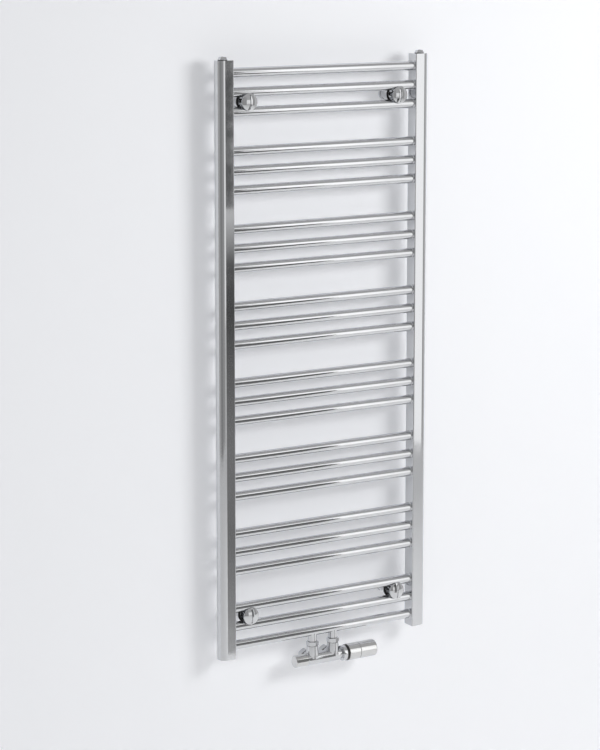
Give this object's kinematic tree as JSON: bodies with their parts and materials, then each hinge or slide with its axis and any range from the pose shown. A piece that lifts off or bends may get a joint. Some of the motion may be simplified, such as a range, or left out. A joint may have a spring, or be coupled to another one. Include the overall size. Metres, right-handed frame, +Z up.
{
  "type": "towel radiator with valve",
  "caption": "Chrome ladder towel radiator with D-shaped uprights, round cross tubes in banks, slotted clamp brackets and a thermostatic H valve below.",
  "frame": {"origin": "centre of the four wall fixings, on the plane of the wall", "axes": "+X to the right as seen from the room, +Y into the wall, +Z up"},
  "size_m": [0.5, 0.066, 1.28],
  "materials": {
    "chrome_steel": "polished chrome plate on steel tube",
    "chrome_brass": "polished chrome plate on turned brass",
    "chrome_plastic": "bright chrome plated plastic",
    "black_plastic": "black moulded plastic",
    "black_rubber": "black rubber",
    "steel": "plain steel",
    "brass": "turned brass"
  },
  "bodies": {
    "wall_mounts": {"wall_sleeves": "chrome_brass", "sleeve_grub_screws": "steel"},
    "radiator": {"left_collector": "chrome_steel", "right_collector": "chrome_steel", "top_end_plates": "chrome_steel", "bottom_end_plates": "chrome_steel", "connection_sockets": "chrome_steel", "cross_tube_01": "chrome_steel", "cross_tube_02": "chrome_steel", "cross_tube_03": "chrome_steel", "cross_tube_04": "chrome_steel", "cross_tube_05": "chrome_steel", "cross_tube_06": "chrome_steel", "cross_tube_07": "chrome_steel", "cross_tube_08": "chrome_steel", "cross_tube_09": "chrome_steel", "cross_tube_10": "chrome_steel", "cross_tube_11": "chrome_steel", "cross_tube_12": "chrome_steel", "cross_tube_13": "chrome_steel", "cross_tube_14": "chrome_steel", "cross_tube_15": "chrome_steel", "cross_tube_16": "chrome_steel", "cross_tube_17": "chrome_steel", "cross_tube_18": "chrome_steel", "cross_tube_19": "chrome_steel", "cross_tube_20": "chrome_steel", "cross_tube_21": "chrome_steel", "cross_tube_22": "chrome_steel", "cross_tube_23": "chrome_steel", "cross_tube_24": "chrome_steel", "vent_plug": "chrome_brass", "blank_plug": "chrome_brass", "clamp_knobs": "chrome_brass", "rear_saddles": "chrome_brass", "radiator_nipples": "chrome_brass", "union_nuts": "chrome_brass", "valve_body": "chrome_brass", "pipe_nuts": "chrome_brass", "insert_bonnet": "chrome_brass", "head_collar": "chrome_brass", "head_base": "chrome_plastic", "head_ring": "black_plastic", "plug_seals": "black_rubber", "saddle_pads": "black_rubber", "union_seals": "black_rubber", "flow_partition": "steel", "stem_spring": "steel", "pipe_olives": "brass", "gland_nut": "brass", "lockshield_gland": "brass"},
    "handwheel": {"handwheel": "chrome_plastic"},
    "valve_stem": {"valve_stem": "steel", "valve_disc": "black_rubber", "sensor_capsule": "brass", "sensor_piston": "brass"},
    "lockshield_spindle": {"lockshield_spindle": "brass"},
    "regulating_plug": {"regulating_plug": "brass"},
    "lockshield_cap": {"lockshield_cap": "chrome_plastic"},
    "vent_screw": {"vent_screw": "chrome_brass"}
  },
  "joints": [
    {"name": "wall_gap_slide", "type": "slide", "parent": "wall_mounts", "child": "radiator", "axis": [0, 1, 0], "range_m": [-0.006, 0.006]},
    {"name": "handwheel_turn", "type": "hinge", "parent": "radiator", "child": "handwheel", "pos_m": [0, -0.048, -0.645], "axis": [1, 0, 0], "range_deg": [-150, 150]},
    {"name": "stem_slide", "type": "slide", "parent": "radiator", "child": "valve_stem", "axis": [1, 0, 0], "range_m": [-0.00125, 0.00125], "deforming": ["stem_spring"]},
    {"name": "lockshield_turn", "type": "hinge", "parent": "radiator", "child": "lockshield_spindle", "pos_m": [0, -0.048, -0.645], "axis": [-1, 0, 0], "range_deg": [-540, 540]},
    {"name": "regulating_slide", "type": "slide", "parent": "radiator", "child": "regulating_plug", "axis": [-1, 0, 0], "range_m": [-0.0015, 0.0015]},
    {"name": "cap_slide", "type": "slide", "parent": "radiator", "child": "lockshield_cap", "axis": [-1, 0, 0], "range_m": [0, 0.012]},
    {"name": "vent_screw_turn", "type": "hinge", "parent": "radiator", "child": "vent_screw", "pos_m": [-0.2325, -0.048, 0.61], "axis": [0, 0, 1], "range_deg": [0, 360]}
  ],
  "couplings": [
    {"joint": "stem_slide", "follows": "handwheel_turn", "m_per_rad": 0.00047746},
    {"joint": "regulating_slide", "follows": "lockshield_turn", "m_per_rad": 0.00015915}
  ]
}
